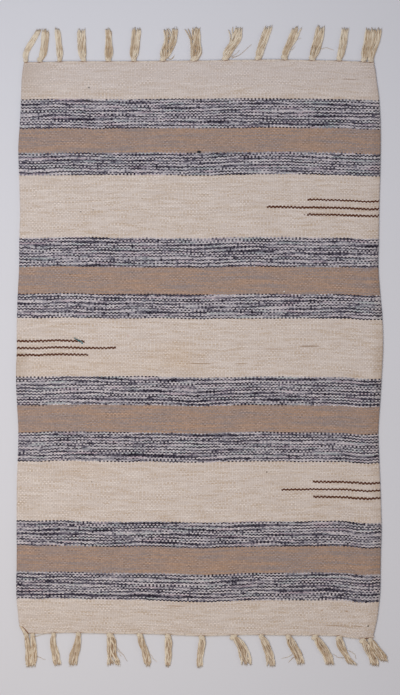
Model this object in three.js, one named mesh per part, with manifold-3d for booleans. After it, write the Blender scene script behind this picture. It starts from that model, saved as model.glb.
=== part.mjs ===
// A flat-woven kilim rug that lies flat, with its warp ends knotted into tassels at both ends.
// Millimetres, +Z up. X runs across the rug and Y along its warps. The origin is the middle of the
// cloth's underside, which lies on Z = 0.

import * as THREE from 'three';
import { mergeVertices } from 'three/addons/utils/BufferGeometryUtils.js';
import Module from 'manifold-3d';

const wasm = await Module();
wasm.setup();

// Driving dimensions
const CLOTH_WIDTH = 600;
const CLOTH_LENGTH = 946;
const CLOTH_THICKNESS = 4;
const PIECE_GAP = 0.3;
const STRAND_GAP = 0.4;

// How far the drawn-in corners of the cloth lie inside its nominal width
const CORNER_INSET = 11;

// The cloth's top face isn't quite even: long shallow swells, this high and this far apart
const SWELL_HEIGHT = 0.25;
const SWELL_ACROSS = 170;
const SWELL_ALONG = 240;

// Facets of the cloth. The rows are crowded towards its ends, where the corners are drawn in.
const COLUMNS = 32;
const ROWS = 28;
const ROW_CROWDING = 0.35;

// How far each long side stands out from the nominal width, from the bottom end to the top end
const SIDES = [
  { y: -478, left: -10, right: -12.5 },
  { y: -469, left: -9.5, right: -11 },
  { y: -460, left: -4, right: -7.5 },
  { y: -446, left: -2, right: -5.5 },
  { y: -426, left: 0.5, right: -3 },
  { y: -397, left: 2, right: -0.5 },
  { y: -347, left: 1, right: 0 },
  { y: -298, left: 1.5, right: 1.5 },
  { y: -248, left: 1, right: 0 },
  { y: -198, left: 0.5, right: -1.5 },
  { y: -149, left: -2, right: -4 },
  { y: -99, left: 0.5, right: -1.5 },
  { y: -50, left: 2.5, right: 1.5 },
  { y: 0, left: 1, right: 4 },
  { y: 50, left: 1, right: 3 },
  { y: 99, left: -1, right: -1.5 },
  { y: 139, left: -3, right: -4 },
  { y: 178, left: -3, right: -3 },
  { y: 228, left: -4.5, right: -2.5 },
  { y: 278, left: -3, right: -1 },
  { y: 337, left: -1.5, right: 0 },
  { y: 377, left: -4.5, right: -0.5 },
  { y: 417, left: -6, right: -3 },
  { y: 436, left: -6.5, right: -6 },
  { y: 456, left: -8, right: -8 },
  { y: 471, left: -10.5, right: -11.5 },
];

// How far each woven end stands out from the nominal length, from the left side to the right side
const ENDS = [
  { x: -289, top: -2, bottom: -2.5 },
  { x: -254, top: -1.5, bottom: -2.5 },
  { x: -220, top: -0.5, bottom: -4 },
  { x: -172, top: -0.5, bottom: -3 },
  { x: -122, top: -0.5, bottom: -2 },
  { x: -81, top: 0, bottom: -2 },
  { x: -31, top: 0.5, bottom: 0 },
  { x: 2, top: 0.5, bottom: 1.5 },
  { x: 43, top: 1.5, bottom: 0.5 },
  { x: 84, top: 2, bottom: -0.5 },
  { x: 121, top: 2.5, bottom: 0 },
  { x: 159, top: 2, bottom: 0.5 },
  { x: 200, top: 1, bottom: 0.5 },
  { x: 233, top: 0.5, bottom: 2 },
  { x: 250, top: -0.5, bottom: 4.5 },
  { x: 269, top: -1, bottom: 6 },
  { x: 288, top: -2, bottom: 4.5 },
];

// The rounded edge of the cloth, from its top face to its underside
const EDGE_STEPS = [
  { inset: 2.4, height: 1 },
  { inset: 0.7, height: 0.84 },
  { inset: 0, height: 0.5 },
  { inset: 0.6, height: 0.16 },
  { inset: 1.8, height: 0 },
];

// Tassels of the top end, from the left. reach is how far the tassel lies out from the cloth's end.
// x and w are its middle and its width across the rug at the cloth's end, at the two distances of
// TASSEL_BENDS, and at its tip. split opens the tip in two, and stray swings the outermost strand
// at the left (negative) or at the right (positive) away from the others at the tip.
const TASSEL_BENDS = [15, 33];
const TOP_TASSELS = [
  { reach: 55, x: [-286, -286, -277, -264], w: [8, 9, 10, 8], split: 0, stray: 0 },
  { reach: 55, x: [-263, -257.5, -255, -253.5], w: [9, 11.5, 11.5, 10.5], split: 0, stray: 0 },
  { reach: 56, x: [-230, -230, -232, -234], w: [8, 10, 9, 9], split: 0, stray: 0 },
  { reach: 54, x: [-191, -193, -194, -194], w: [9, 12.5, 12.5, 11.5], split: 1, stray: 0 },
  { reach: 55, x: [-150, -149, -149, -150], w: [10, 13, 10, 9], split: 0, stray: 0 },
  { reach: 56, x: [-108, -107, -105, -102.5], w: [9, 13.5, 13.5, 13.5], split: 0, stray: 0 },
  { reach: 55, x: [-59, -54.5, -47.5, -47], w: [11.5, 17, 17, 17], split: 5.5, stray: 0 },
  { reach: 56, x: [-7, -5, -5, -5], w: [15, 17, 14.5, 13], split: 0, stray: -12 },
  { reach: 55, x: [44, 48.5, 60.5, 65.5], w: [12.5, 15, 15, 12.5], split: 0, stray: -9 },
  { reach: 56, x: [98, 101, 107, 115], w: [12, 12, 12.5, 12.5], split: 0, stray: 0 },
  { reach: 55, x: [141, 144, 153, 160.5], w: [11, 11, 13, 10], split: 0, stray: 5 },
  { reach: 57, x: [187, 191.5, 196.5, 201.5], w: [11, 14, 15, 12.5], split: 0, stray: 0 },
  { reach: 55, x: [231.5, 235, 238.5, 242], w: [9, 11.5, 11.5, 11], split: 0, stray: 0 },
  { reach: 54, x: [272.5, 274.5, 279, 282.5], w: [9, 9, 11, 12], split: 0, stray: 0 },
  { reach: 56, x: [283.5, 284.5, 291, 295.5], w: [9, 9, 11, 12], split: 0, stray: 0 },
];

// Tassels of the bottom end, from the left
const BOTTOM_TASSELS = [
  { reach: 56, x: [-285, -283.5, -282, -282], w: [8, 8, 8.5, 7.5], split: 0, stray: 0 },
  { reach: 55, x: [-275, -274, -272.5, -273.5], w: [8, 8.5, 9, 8], split: 0, stray: 0 },
  { reach: 55, x: [-240, -241, -237.5, -233.5], w: [8, 9, 11, 11], split: 0, stray: 0 },
  { reach: 55, x: [-199, -200, -205, -211], w: [9, 10, 13, 11], split: 0, stray: 3 },
  { reach: 54, x: [-146.5, -144.5, -144, -140], w: [13, 14.5, 12.5, 17], split: 4, stray: 0 },
  { reach: 54, x: [-97.5, -94.5, -88, -84], w: [11, 10.5, 11, 10], split: 0, stray: 0 },
  { reach: 54, x: [-51, -50.5, -50.5, -52], w: [11, 11.5, 10, 8], split: 0, stray: 0 },
  { reach: 53, x: [5, 5, 2, 1], w: [11.5, 11, 9.5, 8.5], split: 0, stray: 0 },
  { reach: 50, x: [57, 68, 75, 79], w: [13, 15, 17, 16.5], split: 0, stray: 0 },
  { reach: 53, x: [103.5, 109.5, 116, 120], w: [9.5, 12.5, 12.5, 14.5], split: 0, stray: 0 },
  { reach: 50, x: [148, 153.5, 163, 169], w: [10, 14, 13.5, 10.5], split: 0, stray: 0 },
  { reach: 50, x: [191.5, 200, 211, 217], w: [12, 14.5, 15, 13], split: 0, stray: 0 },
  { reach: 48, x: [231.5, 234.5, 243, 254.5], w: [11.5, 13, 9.5, 13], split: 0, stray: 0 },
  { reach: 46, x: [270.5, 277, 287.5, 290], w: [12, 11, 12.5, 13], split: 0, stray: 0 },
  { reach: 40, x: [283, 291, 304, 308], w: [8, 10, 12, 13], split: 0, stray: 0 },
];

// A tassel's strands: which layer, how far across its width (-1 to 1) and how much of its reach.
// The lower strands lie on the floor and the upper ones over the gaps between them.
const STRANDS = [
  { layer: 0, across: -0.75, part: 0.96 },
  { layer: 0, across: -0.25, part: 1 },
  { layer: 0, across: 0.25, part: 0.98 },
  { layer: 0, across: 0.75, part: 0.94 },
  { layer: 1, across: -0.5, part: 0.95 },
  { layer: 1, across: 0, part: 0.91 },
  { layer: 1, across: 0.5, part: 0.97 },
];
const LOWER_STRANDS = 4;
const STRAND_HEIGHT = 2;
const STRAND_TIP_TAPER = 0.7;
const PART_CHANGE = 0.03;

// The knot of a tassel, and the warps that run to it along the cloth's end
const KNOT_LENGTH = 8;
const KNOT_HEIGHT = 6;
const KNOT_SINK = 0.8;
const KNOT_PINCH = 0.6;
const KNOT_SIDES = 8;
const KNOT_RINGS = 5;
const KNOT_MIDDLE = KNOT_LENGTH / 2 + PIECE_GAP;
const KNOT_SAMPLES = [-0.8, -0.4, 0, 0.4, 0.8];

// Places between the knot (0) and the tip (1) at which all strands of a tassel may bend
const STRAND_BENDS = [0, 0.24, 0.49, 0.74, 1];
const GATHER_STEPS = 4;
const GATHER_AT_KNOT = { depth: 2.4, height: 3.2 };
const GATHER_FAR = { depth: 1.3, height: 2 };
const GATHER_RIDGE = 0.25;
const GATHER_SHOULDER = 0.6;

const CLOTH_MATERIAL = new THREE.MeshStandardMaterial({
  color: 0xbfae9f,
  roughness: 0.9,
  metalness: 0,
});
const YARN_MATERIAL = new THREE.MeshStandardMaterial({
  color: 0xb9a582,
  roughness: 0.85,
  metalness: 0,
});

// Curve helpers

// The value of a smooth curve through evenly numbered values, at a place between the second and
// the third of the four given.
function curveThrough([before, start, end, after], t) {
  const bend = 2 * start - 2 * end + (end - before) / 2 + (after - start) / 2;
  const lift = -3 * start + 3 * end - (end - before) - (after - start) / 2;
  return ((bend * t + lift) * t + (end - before) / 2) * t + start;
}

// A smooth value from a list of values that stand at a list of places.
function valueAt(places, values, at) {
  const last = places.length - 1;
  let row = 0;
  while (row < last - 1 && at > places[row + 1]) {
    row += 1;
  }
  const step = places[row + 1] - places[row];
  const t = THREE.MathUtils.clamp((at - places[row]) / step, 0, 1);
  const around = [row - 1, row, row + 1, row + 2];
  return curveThrough(around.map((i) => values[THREE.MathUtils.clamp(i, 0, last)]), t);
}

function column(table, name) {
  return table.map((row) => row[name]);
}

// Cloth outline

// Where the cloth's top end (side 1) or bottom end (side -1) lies at a place across the rug.
function endAt(x, side) {
  const name = side > 0 ? 'top' : 'bottom';
  return side * (CLOTH_LENGTH / 2 + valueAt(column(ENDS, 'x'), column(ENDS, name), x));
}

// Where the left side (-1) or right side (1) lies at a place along the rug.
function sideAt(y, side) {
  const name = side > 0 ? 'right' : 'left';
  return side * (CLOTH_WIDTH / 2 + valueAt(column(SIDES, 'y'), column(SIDES, name), y));
}

// The place between the two long sides, from -1 to 1, at a place along the rug.
function acrossAt(across, y) {
  return THREE.MathUtils.lerp(sideAt(y, -1), sideAt(y, 1), (across + 1) / 2);
}

// The place on the floor of a point of the cloth, from -1 to 1 across and along.
function clothPlace(across, along) {
  const bottom = endAt(acrossAt(across, -CLOTH_LENGTH / 2), -1);
  const top = endAt(acrossAt(across, CLOTH_LENGTH / 2), 1);
  const y = THREE.MathUtils.lerp(bottom, top, (along + 1) / 2);
  return [acrossAt(across, y), y];
}

function thicknessAt(x, y) {
  const across = Math.sin((2 * Math.PI * x) / SWELL_ACROSS + y / SWELL_ALONG);
  const along = Math.cos((2 * Math.PI * y) / SWELL_ALONG - x / SWELL_ACROSS);
  return CLOTH_THICKNESS + SWELL_HEIGHT * across * along;
}

// Mesh helpers

// A geometry from points and triangles of their numbers.
function geometryFrom(points, triangles) {
  const geometry = new THREE.BufferGeometry();
  geometry.setAttribute('position', new THREE.Float32BufferAttribute(points.flat(), 3));
  geometry.setIndex(triangles.flat());
  return geometry;
}

function signedVolume(points, triangles) {
  const corner = (i) => new THREE.Vector3(...points[i]);
  return triangles.reduce((sum, [a, b, c]) => sum + corner(a).cross(corner(b)).dot(corner(c)), 0);
}

// A closed body through a row of rings with equal numbers of points, with flat caps.
function loft(rings) {
  const sides = rings[0].length;
  const points = rings.flat();
  const triangles = [];
  for (let ring = 0; ring < rings.length - 1; ring += 1) {
    for (let i = 0; i < sides; i += 1) {
      const here = ring * sides + i;
      const next = ring * sides + ((i + 1) % sides);
      triangles.push([here, next, next + sides], [here, next + sides, here + sides]);
    }
  }
  const end = (rings.length - 1) * sides;
  for (let i = 1; i < sides - 1; i += 1) {
    triangles.push([0, i + 1, i], [end, end + i, end + i + 1]);
  }
  const outward = signedVolume(points, triangles) > 0;
  return geometryFrom(points, outward ? triangles : triangles.map(([a, b, c]) => [a, c, b]));
}

function toSolid(geometry) {
  const bare = geometry.clone();
  bare.deleteAttribute('normal');
  bare.deleteAttribute('uv');
  const merged = mergeVertices(bare, 1e-4);
  const mesh = new wasm.Mesh({
    numProp: 3,
    vertProperties: new Float32Array(merged.attributes.position.array),
    triVerts: new Uint32Array(merged.index.array),
  });
  return new wasm.Manifold(mesh);
}

function fromSolid(solid) {
  const mesh = solid.getMesh();
  const geometry = new THREE.BufferGeometry();
  geometry.setAttribute('position', new THREE.BufferAttribute(mesh.vertProperties, 3));
  geometry.setIndex(new THREE.BufferAttribute(mesh.triVerts, 1));
  return geometry;
}

// Woven field

// The place of a grid line along the cloth, from -1 to 1.
function rowPlace(row) {
  const even = (2 * row) / ROWS - 1;
  return even * (1 + ROW_CROWDING * (1 - even ** 2));
}

// The place of a grid line across the cloth, from -1 to 1.
function columnPlace(line) {
  return (2 * line) / COLUMNS - 1;
}

// The grid places around the cloth's rim, in turn, as pairs from -1 to 1.
function rimPlaces() {
  const places = [];
  for (let i = 0; i < COLUMNS; i += 1) {
    places.push([columnPlace(i), -1]);
  }
  for (let j = 0; j < ROWS; j += 1) {
    places.push([1, rowPlace(j)]);
  }
  // The other two sides are these turned half a circle
  return places.concat(places.map(([across, along]) => [-across, -along]));
}

// A point of the cloth drawn in from its rim, at a part of the thickness.
function clothPoint([across, along], inset, height) {
  const [x, y] = clothPlace(
    across * (1 - (2 * inset) / CLOTH_WIDTH),
    along * (1 - (2 * inset) / CLOTH_LENGTH),
  );
  return [x, y, height * thicknessAt(x, y)];
}

// A quilt of squares on top, a rounded rim, and one flat face underneath.
function buildField() {
  const top = EDGE_STEPS[0];
  const points = [];
  const triangles = [];
  for (let j = 0; j <= ROWS; j += 1) {
    for (let i = 0; i <= COLUMNS; i += 1) {
      points.push(clothPoint([columnPlace(i), rowPlace(j)], top.inset, top.height));
    }
  }
  for (let j = 0; j < ROWS; j += 1) {
    for (let i = 0; i < COLUMNS; i += 1) {
      const a = j * (COLUMNS + 1) + i;
      const b = a + COLUMNS + 1;
      triangles.push([a, a + 1, b + 1], [a, b + 1, b]);
    }
  }
  const rim = rimPlaces();
  for (let step = 0; step < EDGE_STEPS.length; step += 1) {
    const { inset, height } = EDGE_STEPS[step];
    const first = points.length;
    rim.forEach((place) => points.push(clothPoint(place, inset, height)));
    if (step > 0) {
      for (let i = 0; i < rim.length; i += 1) {
        const next = (i + 1) % rim.length;
        const above = first - rim.length;
        triangles.push([above + i, first + i, first + next], [above + i, first + next, above + next]);
      }
    }
  }
  const under = points.length - rim.length;
  const outline = points.slice(under).map(([x, y]) => new THREE.Vector2(x, y));
  THREE.ShapeUtils.triangulateShape(outline, []).forEach(([a, b, c]) => {
    triangles.push([under + a, under + c, under + b]);
  });
  return mergeVertices(geometryFrom(points, triangles), 1e-4);
}

// Tassels

// The middle and the width of a tassel at a distance from the cloth's end, pinched in the knot.
function tasselAt(row, distance) {
  if (distance <= KNOT_MIDDLE) {
    return { middle: row.x[0], width: row.w[0] * KNOT_PINCH };
  }
  const places = [0, ...TASSEL_BENDS, row.reach];
  return { middle: valueAt(places, row.x, distance), width: valueAt(places, row.w, distance) };
}

// How far out the cloth's end reaches across a tassel's knot.
function endAtKnot(row, side) {
  const places = KNOT_SAMPLES.map((part) => row.x[0] + (part * row.w[0]) / 2);
  return side * Math.max(...places.map((x) => side * endAt(x, side)));
}

// Where a strand lies, and half its width, at a place between the knot and the tassel's tip.
function strandAt(row, strand, place) {
  const distance = THREE.MathUtils.lerp(KNOT_MIDDLE, row.reach, place);
  const { middle, width } = tasselAt(row, distance);
  const hand = strand.across < 0 ? -1 : 1;
  const swings = Math.abs(strand.across) > 0.5 && Math.sign(row.stray) === hand;
  const stray = swings ? row.stray * place ** 3 : 0;
  const opened = (hand * row.split * place ** 2) / 2;
  const x = middle + (strand.across * (width + STRAND_GAP)) / 2 + opened + stray;
  return { distance, x, half: ((width + STRAND_GAP) / LOWER_STRANDS - STRAND_GAP) / 2 };
}

// One strand with three sides: a flat one below and a ridge on top.
function buildStrand(row, side, number, strand) {
  const shorter = PART_CHANGE * ((number + STRANDS.indexOf(strand)) % 3);
  const places = STRAND_BENDS.map((place) => strandAt(row, strand, place));
  const tip = places[places.length - 1];
  const last = places[places.length - 2];
  const length = row.reach * (strand.part - shorter);
  const part = (length - last.distance) / (tip.distance - last.distance);
  tip.x = THREE.MathUtils.lerp(last.x, tip.x, part);
  tip.distance = length;
  tip.half *= STRAND_TIP_TAPER;
  const end = endAtKnot(row, side);
  const z = strand.layer * (STRAND_HEIGHT + STRAND_GAP);
  const rings = places.map((place) => {
    const y = end + side * place.distance;
    const height = STRAND_HEIGHT * (place === tip ? STRAND_TIP_TAPER : 1);
    return [[place.x - place.half, y, z], [place.x + place.half, y, z], [place.x, y, z + height]];
  });
  return loft(rings);
}

// The knot: a ball, flat where it lies on the floor.
function buildKnot(row, side) {
  const ball = new THREE.SphereGeometry(1, KNOT_SIDES, KNOT_RINGS);
  ball.rotateX(Math.PI / 2);
  ball.scale(row.w[0] / 2, KNOT_LENGTH / 2, KNOT_HEIGHT / 2);
  const middle = endAtKnot(row, side) + side * KNOT_MIDDLE;
  ball.translate(row.x[0], middle, KNOT_HEIGHT / 2 - KNOT_SINK);
  const position = ball.attributes.position;
  for (let i = 0; i < position.count; i += 1) {
    position.setZ(i, Math.max(position.getZ(i), 0));
  }
  return ball;
}

// The warps that run along the cloth's end to the knot, from one place across the rug to another.
function buildGather(row, side, from, to) {
  const reach = Math.max(row.x[0] - from, to - row.x[0]);
  const rings = [];
  for (let step = 0; step <= GATHER_STEPS; step += 1) {
    const x = THREE.MathUtils.lerp(from, to, step / GATHER_STEPS);
    const away = Math.abs(x - row.x[0]) / reach;
    const depth = THREE.MathUtils.lerp(GATHER_AT_KNOT.depth, GATHER_FAR.depth, away);
    const height = THREE.MathUtils.lerp(GATHER_AT_KNOT.height, GATHER_FAR.height, away);
    const near = endAt(x, side) + side * PIECE_GAP;
    const far = near + side * depth;
    const ridge = near + side * depth * GATHER_RIDGE;
    const shoulder = height * GATHER_SHOULDER;
    rings.push([[x, near, 0], [x, far, 0], [x, far, shoulder], [x, ridge, height]]);
  }
  return loft(rings);
}

function buildTassel(row, side, number, from, to) {
  const parts = [buildKnot(row, side), buildGather(row, side, from, to)];
  STRANDS.forEach((strand) => parts.push(buildStrand(row, side, number, strand)));
  return fromSolid(parts.map(toSolid).reduce((whole, part) => whole.add(part)));
}

// Assembly

const rug = new THREE.Group();

function addPiece(name, geometry, material) {
  const mesh = new THREE.Mesh(geometry, material);
  mesh.name = name;
  rug.add(mesh);
}

// The tassels of one end. Each gathers the warps half way to its neighbours, or to the corner.
function addTassels(table, side, label) {
  const corner = CORNER_INSET - CLOTH_WIDTH / 2;
  table.forEach((row, i) => {
    const before = i > 0 ? (table[i - 1].x[0] + row.x[0] + PIECE_GAP) / 2 : corner;
    const after = i < table.length - 1 ? (table[i + 1].x[0] + row.x[0] - PIECE_GAP) / 2 : -corner;
    const name = `tassel_${label}_${String(i + 1).padStart(2, '0')}`;
    addPiece(name, buildTassel(row, side, i, before, after), YARN_MATERIAL);
  });
}

addPiece('rug_field', buildField(), CLOTH_MATERIAL);
addTassels(TOP_TASSELS, 1, 'top');
addTassels(BOTTOM_TASSELS, -1, 'bottom');

export default rug;
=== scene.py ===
# %% [markdown]
# # A flat-woven cotton rug with knotted fringes
#
# This lesson dresses a plain model of a kilim: a rug woven without pile, in which the weft, the
# yarn that runs across, is beaten down until it hides the warps, the strings that run along.
# The plain model gives the true size and outline. Here each visible part is built again with its
# threads, and gets a material made of nodes.

# %% Load the plain model
import math
import bpy
import numpy as np
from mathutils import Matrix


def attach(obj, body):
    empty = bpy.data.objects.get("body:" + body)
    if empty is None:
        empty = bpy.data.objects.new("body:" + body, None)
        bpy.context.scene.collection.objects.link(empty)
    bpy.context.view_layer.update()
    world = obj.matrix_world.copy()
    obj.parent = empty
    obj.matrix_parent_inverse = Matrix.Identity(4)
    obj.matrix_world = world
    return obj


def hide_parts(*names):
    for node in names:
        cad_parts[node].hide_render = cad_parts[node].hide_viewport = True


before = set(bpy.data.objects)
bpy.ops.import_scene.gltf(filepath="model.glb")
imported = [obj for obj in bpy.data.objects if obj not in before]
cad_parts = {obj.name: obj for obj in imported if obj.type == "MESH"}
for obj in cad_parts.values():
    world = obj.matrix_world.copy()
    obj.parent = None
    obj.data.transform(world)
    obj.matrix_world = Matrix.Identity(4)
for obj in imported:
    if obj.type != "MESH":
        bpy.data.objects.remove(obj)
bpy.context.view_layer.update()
MM = 0.001
chance = np.random.default_rng(seed=11)


# %% [markdown]
# ## Small helpers
#
# Colours are easiest to pick as screen (sRGB) hex values, but a shader works with linear light, so
# one function turns one into the other. A second one adds a node to a material: its inputs may be
# numbers, or earlier nodes to link from. A Map Range node's values, for one, are what it reads, the
# range that it is read over, and the range that it gives. A third gives the unevenness of yarn: a
# noise over two values, each with its own scale, because on threads it has to be stretched along
# them. Of the mesh helpers, one draws a smooth curve through a few known values, and the other
# makes a mesh object from lists of points and faces.


# %% Colour and node helpers
def linear(hex_value):
    """The linear RGBA colour of an sRGB hex value."""
    shares = [int(hex_value[i:i + 2], 16) / 255 for i in (1, 3, 5)]
    return [s / 12.92 if s <= 0.04045 else ((s + 0.055) / 1.055) ** 2.4 for s in shares] + [1.0]


def add(tree, kind, inputs=(), **settings):
    """Adds a node. kind is its type, and then a math node's operation or a mix node's data type.
    inputs are its values in order, or by name, and a node or socket among them is linked."""
    kind, *mode = kind.split()
    node = tree.nodes.new("ShaderNode" + kind)
    if mode:
        setattr(node, "data_type" if kind == "Mix" else "operation", mode[0])
    for name, value in settings.items():
        setattr(node, name, value)
    in_use = [socket for socket in node.inputs if socket.enabled]
    if not isinstance(inputs, dict):
        inputs = dict(zip([socket.identifier for socket in in_use], inputs))
    for name, value in inputs.items():
        socket = next(s for s in in_use if name in (s.identifier, s.name))
        if isinstance(value, bpy.types.Node):
            value = next(s for s in value.outputs if s.enabled)
        if isinstance(value, bpy.types.NodeSocket):
            tree.links.new(value, socket)
        else:
            socket.default_value = value
    return node


def unevenness(tree, x, y, plane, detail, roughness=0.5):
    """A noise over two values. x and y are each a value, its scale and where its scale starts."""
    places = [add(tree, "Math MULTIPLY_ADD", value) for value in (x, y)]
    place = add(tree, "CombineXYZ", [*places, plane])
    looks = {"Vector": place, "Scale": 1.0, "Detail": detail, "Roughness": roughness}
    return add(tree, "TexNoise", looks)


def new_material(name):
    """A material without nodes, and its node tree."""
    material = bpy.data.materials.new(name)
    material.use_nodes = True
    material.node_tree.nodes.clear()
    return material, material.node_tree


# %% Mesh helpers
def smooth_between(places, values, at):
    """Values at any places, on a smooth curve through a few known ones."""
    places, values = np.asarray(places, float), np.asarray(values, float)
    at = np.clip(at, places[0], places[-1])
    row = np.clip(np.searchsorted(places, at, side="right") - 1, 0, len(places) - 2)
    step = places[row + 1] - places[row]
    t = (at - places[row]) / step
    slope = np.gradient(values, places)
    rise = values[row + 1] - values[row]
    bend = (slope[row] + slope[row + 1]) * step - 2 * rise
    turn = 3 * rise - (2 * slope[row] + slope[row + 1]) * step + t * bend
    return values[row] + t * (slope[row] * step + t * turn)


def new_piece(name, points, faces, maps, material):
    """A smooth-shaded mesh object, with its points in mm. maps holds each UV map's pairs, one pair
    for each corner of each face."""
    mesh = bpy.data.meshes.new(name)
    mesh.from_pydata(np.asarray(points) * MM, [], faces)
    for map_name, pairs in maps.items():
        layer = mesh.uv_layers.new(name=map_name)
        layer.uv.foreach_set("vector", np.asarray(pairs, np.float32).ravel())
    mesh.polygons.foreach_set("use_smooth", [True] * len(mesh.polygons))
    mesh.materials.append(material)
    piece = bpy.data.objects.new(name, mesh)
    bpy.context.scene.collection.objects.link(piece)
    return piece


# %% [markdown]
# ## The outline of the cloth
#
# A hand-woven rug is never a true rectangle: its sides wander where the weft was pulled more or
# less tightly, and its corners are drawn in. That outline is already in the plain model. Half way
# up its thickness it has one ring of points, so the ring is read from there and split into four
# smooth edge lines, and nothing has to be measured twice.

# %% Read the four edge lines
CLOTH_WIDTH, CLOTH_LENGTH, CLOTH_THICKNESS = 600, 946, 4
WAIST_BAND = (1.2, 2.8)
SIDES_BEYOND, ENDS_BEYOND = 280, 466

solid = np.array([v.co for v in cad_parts["rug_field"].data.vertices]) / MM
at_waist = (solid[:, 2] > WAIST_BAND[0]) & (solid[:, 2] < WAIST_BAND[1])
waist = np.unique(np.round(solid[at_waist, :2], 2), axis=0)


def edge_line(chosen, along):
    """One edge as places along it, in order, and how far out it lies at each."""
    points = waist[chosen]
    points = points[np.argsort(points[:, along])]
    return points[:, along], points[:, 1 - along]


LEFT = edge_line(waist[:, 0] < -SIDES_BEYOND, 1)
RIGHT = edge_line(waist[:, 0] > SIDES_BEYOND, 1)
BOTTOM = edge_line(waist[:, 1] < -ENDS_BEYOND, 0)
TOP = edge_line(waist[:, 1] > ENDS_BEYOND, 0)
print("points on the edge lines:", [len(line[0]) for line in (LEFT, RIGHT, BOTTOM, TOP)])


def cloth_place(across, along):
    """The place in mm of a point of the cloth, given from -1 to 1 across and along."""
    share = (across + 1) / 2
    bottom = smooth_between(*BOTTOM, BOTTOM[0][0] + share * np.ptp(BOTTOM[0]))
    top = smooth_between(*TOP, TOP[0][0] + share * np.ptp(TOP[0]))
    y = bottom + (top - bottom) * (along + 1) / 2
    left, right = smooth_between(*LEFT, y), smooth_between(*RIGHT, y)
    return left + (right - left) * share, y


# %% [markdown]
# ## The threads of the cloth
#
# The cloth has 196 warps, 3 mm apart, and each makes a rib that runs the whole length of the rug.
# Each row of weft, a pick, goes over one warp and under the next, and the next pick does the
# opposite. The picks are packed so tightly that each bead of yarn on a rib is two picks high.
#
# The ribs are modelled, because they show in the outline at a low angle. About 820 picks are left
# to the material. So every corner of the mesh gets its place in threads, the warp's number and the
# pick's, as a UV map. The material then knows which yarn it is on, even where the rows sag.

# %% Count the threads
RIBS = 196
RIB_PITCH = CLOTH_WIDTH / RIBS
STEPS_PER_RIB = 3
RIB_DEPTH = 0.14
PICK_PITCH = 1.15
PICKS = CLOTH_LENGTH / PICK_PITCH
ROWS = 64
ROW_CROWDING = 0.35
SWELL_HEIGHT, SWELL_ACROSS, SWELL_ALONG = 0.25, 170, 240
WARP_SWAY, SWAY_WAVES = 0.5, ((9, 25), (4, -11))
SAG_TWIST, SAG_WAVES = 2.2, ((0.4, 2.4, 5), (0.35, 7, -9), (0.2, 17, 23))
RIGHT_RISE, LEFT_RISE = 2.0, 5.5
COLUMNS = RIBS * STEPS_PER_RIB
EDGE_ROUNDING = 2.0
EDGE_TURN = np.radians([90, 50, 18, -18, -50, -90])


def pick_sag(across, along):
    """How many mm the rows of weft lie below their even places. They droop and wander a little."""
    right_rise = RIGHT_RISE * np.clip(across, 0, 1) ** 3
    left_rise = LEFT_RISE * (np.clip(-across, 0, 1) * (1 - along) / 2) ** 3
    sag = SAG_TWIST * across * along
    for height, rate_across, rate_along in SAG_WAVES:
        sag = sag + height * np.sin(rate_across * across + rate_along * along)
    return (sag - right_rise - left_rise) * (1 - along ** 16)


def threads_at(across, along, beyond_side=0, beyond_end=0):
    """The warp's number and the pick's. Beyond the rim they go on counting round the edge."""
    warp = (across + 1) / 2 * RIBS + np.sign(across) * beyond_side / RIB_PITCH
    y = along * (CLOTH_LENGTH / 2 - EDGE_ROUNDING) + np.sign(along) * beyond_end
    down = CLOTH_LENGTH / 2 - y - pick_sag(across, along)
    return np.stack([warp, down / PICK_PITCH], -1)


def threads_of(x, y):
    """The warp's number and the pick's at a place of the cloth, in mm."""
    left, right = smooth_between(*LEFT, y), smooth_between(*RIGHT, y)
    bottom, top = smooth_between(*BOTTOM, x), smooth_between(*TOP, x)
    across = (2 * x - left - right) / (right - left) / (1 - 2 * EDGE_ROUNDING / CLOTH_WIDTH)
    along = (2 * y - bottom - top) / (top - bottom) / (1 - 2 * EDGE_ROUNDING / CLOTH_LENGTH)
    return threads_at(across, along)


print("warps:", RIBS, "picks:", round(PICKS), "rib pitch in mm:", round(RIB_PITCH, 2))


# %% Place the points of the cloth
def cloth_points(across, along, inset, height, rib_side):
    """Points of the cloth, drawn in from the rim, at a share of the thickness."""
    x, y = cloth_place(across * (1 - 2 * inset / CLOTH_WIDTH), along * (1 - 2 * inset / CLOTH_LENGTH))
    sway = WARP_SWAY
    for rate_along, rate_across in SWAY_WAVES:
        sway = sway * np.sin(rate_along * along + rate_across * across)
    x = x + sway * (1 - across ** 8)
    swell = np.sin(2 * np.pi * x / SWELL_ACROSS + y / SWELL_ALONG)
    swell = swell * np.cos(2 * np.pi * y / SWELL_ALONG - x / SWELL_ACROSS)
    thickness = CLOTH_THICKNESS + SWELL_HEIGHT * swell
    valley = np.cos(np.pi * RIBS * (across + 1) / 2) ** 2
    return np.stack([x, y, height * thickness - rib_side * RIB_DEPTH * valley], -1)


across_lines = np.linspace(-1, 1, COLUMNS + 1)
even = np.linspace(-1, 1, ROWS + 1)
along_lines = even * (1 + ROW_CROWDING * (1 - even ** 2))
grid_across, grid_along = np.meshgrid(across_lines, along_lines)
top_points = cloth_points(grid_across, grid_along, EDGE_ROUNDING, 1, 1)
under_points = cloth_points(grid_across, grid_along, EDGE_ROUNDING, 0, -1)

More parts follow.
